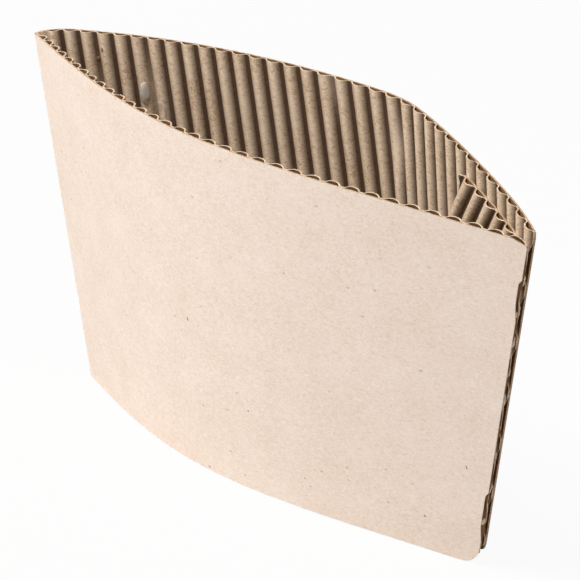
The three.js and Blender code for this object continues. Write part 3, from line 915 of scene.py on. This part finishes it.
@dataclass
class CorrugatedSleeve:
    """The folded and glued blank: liner, fluting, flap, perforated fold and glue.

    Raggedness and margins are in millimetres. The liner has extra columns round the plain fold.
    """

    blank: Blank
    steps_per_flute: int = 20
    liner_steps_per_flute: int = 5
    rows: int = 22
    fold_zone: float = 3.0
    fold_columns: int = 41
    ragged: float = 0.03
    flap_ragged: float = 0.05
    least_panel: float = 0.1
    least_flap: float = 0.3
    # The flap's columns start before its first corner and end after its last one
    before_flap: float = 1.0
    after_flap: float = 1.2
    edge_around: int = 14
    edge_rows: int = 170
    seed: int = 7

    def __post_init__(self) -> None:
        """Makes the tree, the rays and the papers."""
        board = self.blank.board
        self.sizes = {
            "Flute Pitch": board.pitch,
            "Flute Rise": board.rise,
            "Crest Reach": board.crest_reach,
            "Sector Angle": self.blank.angle,
            "Unevenness": board.unevenness,
            "Seed": board.uneven_seed,
        }
        self.tree = folding_tree(board, self.sizes)
        self.rays = ray_curve(self.blank)
        liner, medium = kraft_material(LINER_FINISH), kraft_material(MEDIUM_FINISH)
        tunnel_shade, cut = kraft_material(TUNNEL_SHADE_FINISH), kraft_material(CUT_FINISH)
        # The liner's cut edges take a paper painted darker as shade
        shaded_cut_liner = kraft_material(CUT_LINER_SHADE_FINISH)
        # The face towards the liner's outside, the other face and the cut edges
        # The faces in the tunnels take a paper painted dark as shade
        self.papers = {Layer.LINER: (liner, tunnel_shade, shaded_cut_liner), Layer.MEDIUM: (tunnel_shade, medium, cut)}
        self.edge_paper = kraft_material(EDGE_FINISH)
        self.bark = kraft_material(FLECK_FINISH)
        self.glue = glue_material(GlueFinish())
        self.random = np.random.default_rng(self.seed)

    def _columns(self, low: float, high: float, layer: Layer) -> np.ndarray:
        """Places across the flutes, close enough for the layer's shape.

        Args:
            low: the first place.
            high: the last place.
            layer: which of the board's two webs it is.

        Returns:
            The places.
        """
        steps = self.steps_per_flute if layer is Layer.MEDIUM else self.liner_steps_per_flute
        step = self.blank.board.pitch / steps
        return np.linspace(low, high, max(2, round((high - low) / step)) + 1)

    def _rough(self, count: int, reach: float) -> np.ndarray:
        """A cut edge's unevenness at count places along it, up to reach either way."""
        return self.random.uniform(-reach, reach, count)

    def _pressed(self, x: np.ndarray, y: np.ndarray) -> np.ndarray:
        """Share of the flutes' rise that the dents leave.

        Args:
            x: places across the flutes.
            y: places along them.

        Returns:
            The share at each place.
        """
        left = np.ones_like(x)
        radius = np.hypot(x, y)
        for dent in DENTS:
            across = (x - dent.across) / dent.width
            down = (self.blank.top - radius - dent.below_rim) / dent.length
            left -= dent.pressed * np.exp(-across * across - down * down)
        return left

    def _fold_press(self, x: np.ndarray) -> np.ndarray:
        """Share of the rise that the plain fold leaves, by the distance from it."""
        bends, pitch = self.blank.bends, self.blank.board.pitch
        return np.clip((np.abs(x) - pitch * bends.crushed) / (pitch * bends.recovery), 0, 1)

    def panel_web(self, layer: Layer) -> Web:
        """Both panels in one web, from the back panel's cut end round the plain fold to the glued edge.

        Args:
            layer: which of the board's two webs it is.

        Returns:
            The flat web.
        """
        blank, flap = self.blank, self.blank.flap
        sine = math.sin(blank.angle)
        limit = blank.top * sine - blank.tip
        x = self._columns(-limit, limit - flap.cut_margin, layer)
        if layer is Layer.LINER:
            near = np.linspace(-self.fold_zone, self.fold_zone, self.fold_columns)
            x = np.sort(np.concatenate([x[np.abs(x) > self.fold_zone + self.least_panel], near]))
        low = np.where(x > 0, blank.lower_edge(np.abs(x), flap.cut_margin), blank.lower_edge(np.abs(x), 0))
        for first, last in flap.notches if layer is Layer.LINER else ():
            bitten = (x > first * sine) & (x < last * sine)
            low = low + bitten * flap.notch_depth / sine
        clipped = np.maximum(x - (limit - flap.dog_ear), 0) * flap.dog_ear_slope
        high = np.sqrt(blank.top**2 - x**2) - clipped
        low = np.minimum(low + self._rough(len(x), self.ragged), high - self.least_panel)
        high = high + self._rough(len(x), self.ragged)
        y = low + (high - low) * np.linspace(0, 1, self.rows + 1)[:, None]
        grid_x = np.broadcast_to(x, y.shape)
        return Web(grid_x, y, grid_x, self._fold_press(grid_x))

    def flap_web(self, layer: Layer) -> Web:
        """The glue flap's web, laid on the back panel's crests.

        Args:
            layer: which of the board's two webs it is.

        Returns:
            The flat web, turned back by the whole sector.
        """
        blank, flap = self.blank, self.blank.flap
        top, bottom = blank.top - flap.top_drop, blank.bottom + flap.bottom_rise
        sine, cosine = math.sin(blank.angle), math.cos(blank.angle)
        first = bottom * sine + flap.edge_margin / cosine
        last = top * sine + flap.width * cosine
        x = self._columns(first - self.before_flap, last + self.after_flap, layer)
        fold_line = (x * cosine - flap.edge_margin) / sine
        free_end = (x * cosine - flap.width) / sine
        low = np.maximum(np.sqrt(bottom**2 - x**2), free_end)
        high = np.minimum(np.sqrt(top**2 - x**2), fold_line)
        keep = high - low > self.least_flap
        x, low, high = x[keep], low[keep], high[keep]
        high = high + self._rough(len(x), self.flap_ragged)
        y = low + (high - low) * np.linspace(0, 1, self.rows * 2 // 3)[:, None]
        across = np.broadcast_to(x, y.shape)
        radius, angle = np.hypot(across, y), np.arctan2(across, y) - 2 * blank.angle
        depth = blank.board.thickness + flap.glue_gap
        from_fold = (across * cosine - y * sine) / flap.pressed_for
        press = np.clip(flap.pressed_share + (1 - flap.pressed_share) * from_fold, flap.pressed_share, 1)
        return Web(radius * np.sin(angle), radius * np.cos(angle), across, press, depth)

    def fold_web(self, name: str, web: Web, layer: Layer) -> Object:
        """Runs a web through the tree and makes a finished piece of it.

        Args:
            name: the piece's name.
            web: the flat web.
            layer: which of the board's two webs it is.

        Returns:
            The piece.
        """
        board, shape = self.blank.board, web.y.shape
        if layer is Layer.LINER:
            thickness, middle, rise = board.liner, board.liner / 2, np.zeros(shape)
        else:
            thickness, middle = board.medium, board.liner + board.medium / 2
            rise = web.press * self._pressed(web.across, web.y)
        points = np.stack([web.x, web.y, np.full(shape, web.start + middle)], -1).reshape(-1, 3)
        piece = link_mesh(name, points, grid_faces(shape[1], shape[0]))
        for key, values in (("across", web.across), ("rise", rise)):
            stored = piece.data.attributes.new(key, "FLOAT", "POINT")
            stored.data.foreach_set("value", np.ascontiguousarray(values, float).ravel())
        folding = piece.modifiers.new("folding", "NODES")
        folding.node_group = self.tree
        sockets = {s.name: s.identifier for s in self.tree.interface.items_tree if s.in_out == "INPUT"}
        apex = tuple(map(float, self.blank.apex))
        inputs = {"Rays": self.rays, "Apex": apex, "Paper": self.papers[layer][0]}
        for key, value in (self.sizes | inputs).items():
            folding[sockets[key]] = value
        apply_modifiers(piece)
        return finish_piece(piece, thickness * MM, self.papers[layer][1:])

    def perforated_fold(self) -> Object:
        """The bridges of crushed board round the glued edge, between the slits of its fold line.

        Returns:
            The piece.
        """
        blank, flap = self.blank, self.blank.flap
        low, high = blank.bottom + blank.corner, blank.top - flap.dog_ear
        radius = np.linspace(low, high, self.edge_rows)
        inset = (flap.edge_margin + flap.edge_overlap) / radius
        front = blank.place(radius, blank.angle - inset, 0 * radius + flap.edge_thickness / 2)
        depth = blank.board.thickness + flap.glue_gap + flap.edge_thickness / 2
        back = blank.place(radius, inset - blank.angle, 0 * radius + depth)
        _, along, _ = blank.at(np.full(self.edge_rows, blank.angle))
        outward = along @ blank.turn.T
        middle, half = (front + back) / 2, (front - back) / 2
        turn = np.linspace(0, math.pi, self.edge_around)
        ragged = 1 + self._rough(self.edge_rows, self.ragged)[:, None, None]
        reach = (flap.edge_margin + flap.edge_overlap - flap.edge_tuck) * MM
        points = (
            middle[:, None]
            + half[:, None] * np.cos(turn)[None, :, None]
            + outward[:, None] * np.sin(turn)[None, :, None] * reach * ragged
        ).reshape(-1, 3)
        slit = (high - low) / flap.slits
        shifts = self.random.uniform(-flap.bridge_shift, flap.bridge_shift, flap.slits - 1)
        bridges = low + slit * (np.arange(1, flap.slits) + shifts)
        faces = []
        for quad in grid_faces(self.edge_around, self.edge_rows):
            if np.abs(bridges - radius[quad[0] // self.edge_around]).min() < flap.bridge / 2:
                faces.append(quad)
        piece = link_mesh("perforated_fold", points, faces)
        piece.data.materials.append(self.edge_paper)
        return finish_piece(piece, flap.edge_thickness * MM)

    def blob(self, shape: Blob, paper: Material, form: BlobForm = BlobForm()) -> Object:
        """A small flat drop or fleck: outside on the front liner, or inside on the back panel's flutes.

        Args:
            shape: its name, place and size.
            paper: its material.
            form: the dome that it is a scaled copy of.

        Returns:
            The piece.
        """
        blank, board = self.blank, self.blank.board
        dome, faces = form.build()
        across = shape.across + dome[:, 0] * shape.half_width
        radius = blank.top - shape.below_rim - dome[:, 1] * shape.half_length
        height = dome[:, 2] * shape.height
        if shape.across < 0:
            depth = board.valley + board.rise * board.arch(across) + form.above_flutes + height
        else:
            depth = form.in_liner - height
            faces = [face[::-1] for face in faces]
        piece = link_mesh(shape.name, blank.place(radius, np.arcsin(across / radius), depth), faces)
        piece.data.materials.append(paper)
        return finish_piece(piece)

    def build(self) -> None:
        """Makes every piece of the sleeve."""
        for layer in Layer:
            self.fold_web(f"panel_{layer.value}", self.panel_web(layer), layer)
            self.fold_web(f"flap_{layer.value}", self.flap_web(layer), layer)
        self.perforated_fold()
        for drop in GLUE_BLOBS:
            self.blob(drop, self.glue)
        for fleck in BARK_FLECKS:
            self.blob(fleck, self.bark)
        bpy.data.objects.remove(self.rays)


@dataclass(frozen=True)
class SoftBox:
    """A square soft box that looks at the sleeve: place and width in metres, power in watts."""

    name: str
    place: tuple[float, float, float]
    energy: float
    width: float = 0.8

    def build(self) -> None:
        """Makes the lamp."""
        data = bpy.data.lights.new(self.name, "AREA")
        data.size, data.energy = self.width, self.energy
        made = bpy.data.objects.new(self.name, data)
        made.location = self.place
        made.rotation_euler = (-Vector(self.place)).to_track_quat("-Z", "Y").to_euler()
        bpy.context.scene.collection.objects.link(made)


@dataclass(frozen=True)
class Studio:
    """A white table in a white room, with soft light from above, the front left and a little the right."""

    table_width: float = 6.0
    table_colour: str = "#C4C2BF"
    # Share of pure white in what the camera sees of the table. The rest lets soft shadows show
    table_white: float = 0.94
    world_strength: float = 0.39
    lamps: tuple[SoftBox, ...] = (
        SoftBox("top_soft_box", (-0.3, -1.0, 1.5), 39.0),
        SoftBox("side_soft_box", (-1.3, -1.1, 0.35), 4.4),
        SoftBox("fill_soft_box", (1.5, -0.6, 0.45), 2.2),
    )

    def _seen(self, tree: NodeTree) -> NodeSocket:
        """Whether a ray is from the camera, straight or by way of a shiny or clear face.

        Args:
            tree: the tree that asks.

        Returns:
            1 for such a ray and 0 for others.
        """
        path = add_node(tree, "ShaderNodeLightPath").outputs
        rays = (path["Is Glossy Ray"], path["Is Transmission Ray"])
        by_way = add_node(tree, MATH, rays, operation="MAXIMUM").outputs[0]
        return add_node(tree, MATH, (path["Is Camera Ray"], by_way), operation="MAXIMUM").outputs[0]

    def table(self) -> None:
        """A white sweep that keeps the sleeve's soft shadow and gives little light back."""
        half = self.table_width / 2
        corners = np.array([(-half, -half, 0), (half, -half, 0), (half, half, 0), (-half, half, 0)], float)
        table = link_mesh("white_table", corners, [(0, 1, 2, 3)])
        material = bpy.data.materials.new("white_paper_sweep")
        material.use_nodes = True
        tree = material.node_tree
        tree.nodes.clear()
        paper = add_node(tree, "ShaderNodeBsdfDiffuse", {"Color": linear(self.table_colour)}).outputs[0]
        glow = {"Color": linear("#FFFFFF"), "Strength": 1.0}
        white = add_node(tree, "ShaderNodeEmission", glow).outputs[0]
        share = add_node(tree, MATH, (self._seen(tree), self.table_white), operation="MULTIPLY").outputs[0]
        mixed = add_node(tree, "ShaderNodeMixShader", (share, paper, white)).outputs[0]
        add_node(tree, "ShaderNodeOutputMaterial", {"Surface": mixed})
        table.data.materials.append(material)

    def world(self) -> None:
        """Even light all round, seen as white."""
        world = bpy.data.worlds.new("white_room")
        bpy.context.scene.world = world
        world.use_nodes = True
        tree = world.node_tree
        tree.nodes.clear()
        lift = (self._seen(tree), 1.0 - self.world_strength, self.world_strength)
        strength = add_node(tree, MATH, lift, operation="MULTIPLY_ADD").outputs[0]
        room = {"Color": linear("#FFFFFF"), "Strength": strength}
        light = add_node(tree, "ShaderNodeBackground", room).outputs[0]
        add_node(tree, "ShaderNodeOutputWorld", {"Surface": light})

    def build(self) -> None:
        """Sets the table, the room and the lamps."""
        self.table()
        self.world()
        for lamp in self.lamps:
            lamp.build()


@dataclass(frozen=True)
class PhotoView:
    """The photograph's view: place in metres, angles in degrees, focal length in the photo's pixels."""

    place: tuple[float, float, float] = (0.48394, -0.53474, 0.25936)
    azimuth: float = -41.875
    below_horizon: float = 17.305
    roll: float = 9.95
    focal_pixels: float = 4391.4
    image_pixels: float = 580.0
    sensor_mm: float = 36.0
    clip: tuple[float, float] = (0.05, 20.0)

    def build(self) -> None:
        """Makes the camera."""
        azimuth, drop = math.radians(self.azimuth), math.radians(self.below_horizon)
        level = math.cos(drop)
        forward = Vector((math.sin(azimuth) * level, math.cos(azimuth) * level, -math.sin(drop)))
        roll = Matrix.Rotation(math.radians(self.roll), 3, "Z")
        turn = forward.to_track_quat("-Z", "Y").to_matrix() @ roll
        data = bpy.data.cameras.new("photo_camera")
        data.sensor_width = self.sensor_mm
        data.lens = self.focal_pixels / self.image_pixels * self.sensor_mm
        data.clip_start, data.clip_end = self.clip
        camera = bpy.data.objects.new("photo_camera", data)
        camera.matrix_world = Matrix.Translation(self.place) @ turn.to_4x4()
        bpy.context.scene.collection.objects.link(camera)
        bpy.context.scene.camera = camera


def main() -> None:
    """Builds the sleeve, the studio and the camera."""
    logging.basicConfig(level=logging.INFO, format="%(name)s %(message)s")
    bpy.context.scene.view_settings.view_transform = "Standard"
    PhotoView().build()
    blank = Blank()
    blank.settle(*CAD_BOX)
    CorrugatedSleeve(blank).build()
    Studio().build()


if __name__ == "__main__":
    main()
